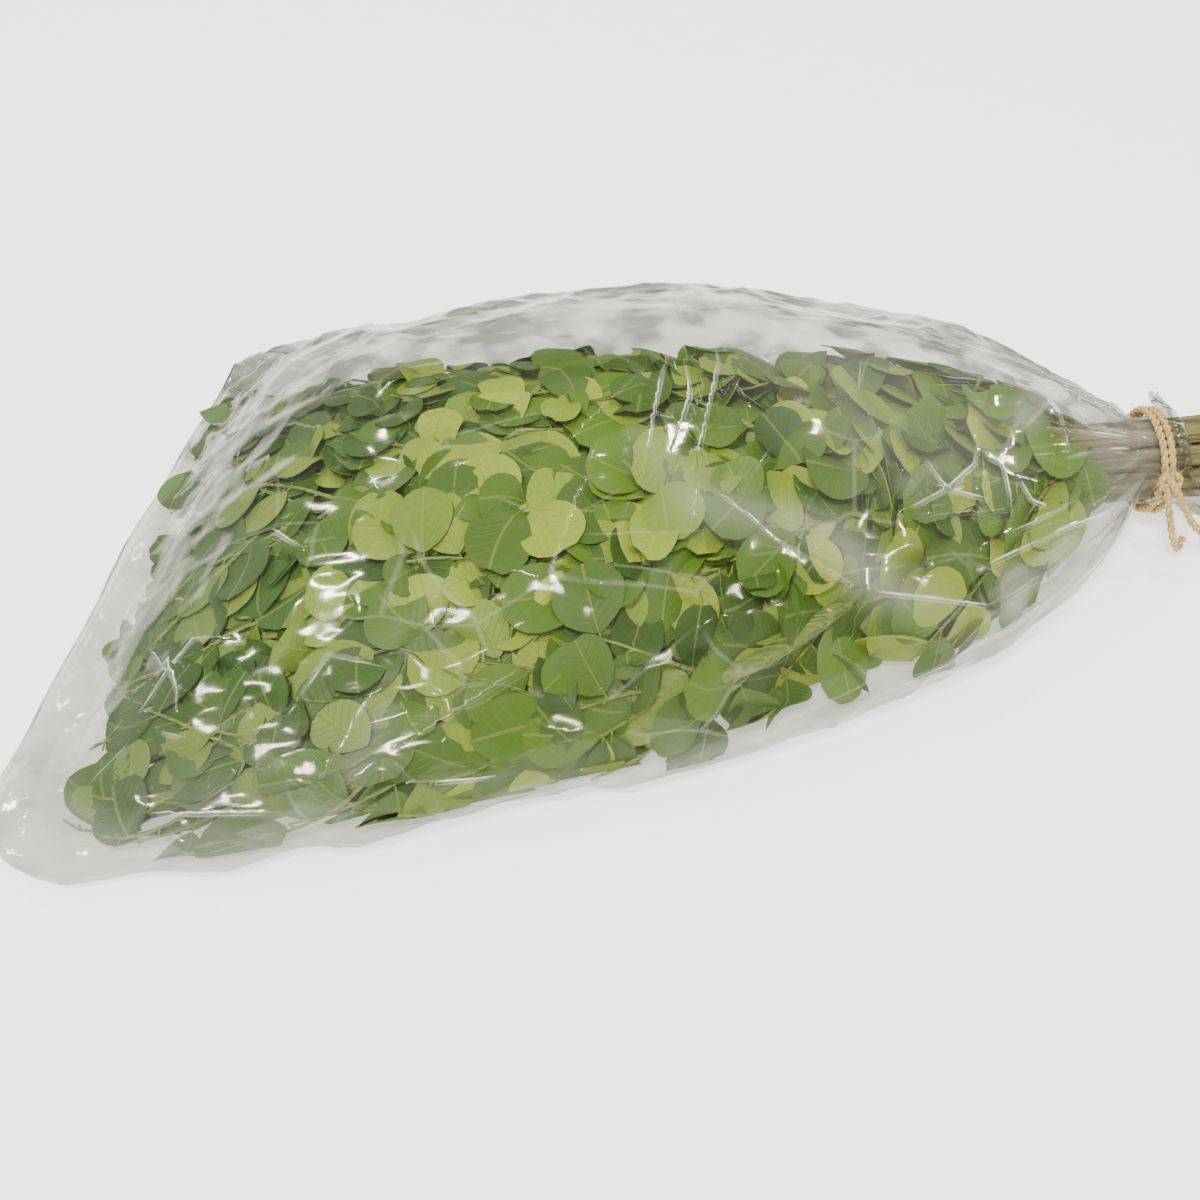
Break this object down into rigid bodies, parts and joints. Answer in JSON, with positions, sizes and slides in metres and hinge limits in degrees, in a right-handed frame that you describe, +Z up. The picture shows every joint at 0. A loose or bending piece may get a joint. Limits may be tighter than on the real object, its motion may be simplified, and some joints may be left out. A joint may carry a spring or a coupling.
{
  "type": "bagged bunch of moringa leaves",
  "caption": "Leafy moringa stems lying in a clear film bag, its gathered neck tied with jute twine and the cut stem ends sticking out.",
  "frame": {"origin": "centre of the flat underside of the bag, on the surface the bunch lies on", "axes": "+X along the bunch from the leafy sealed end of the bag to the cut stem ends, +Z up"},
  "size_m": [0.377, 0.1875, 0.055],
  "materials": {
    "clear_film": "clear gloss",
    "moringa_leaf": "satin",
    "jute": "matte"
  },
  "bodies": {
    "root": {"film_bag": "clear_film", "leafy_stem_01": "moringa_leaf", "leafy_stem_02": "moringa_leaf", "leafy_stem_03": "moringa_leaf", "leafy_stem_04": "moringa_leaf", "leafy_stem_05": "moringa_leaf", "leafy_stem_06": "moringa_leaf", "leafy_stem_07": "moringa_leaf", "leafy_stem_08": "moringa_leaf", "leafy_stem_09": "moringa_leaf", "twine_tie": "jute"}
  },
  "joints": []
}
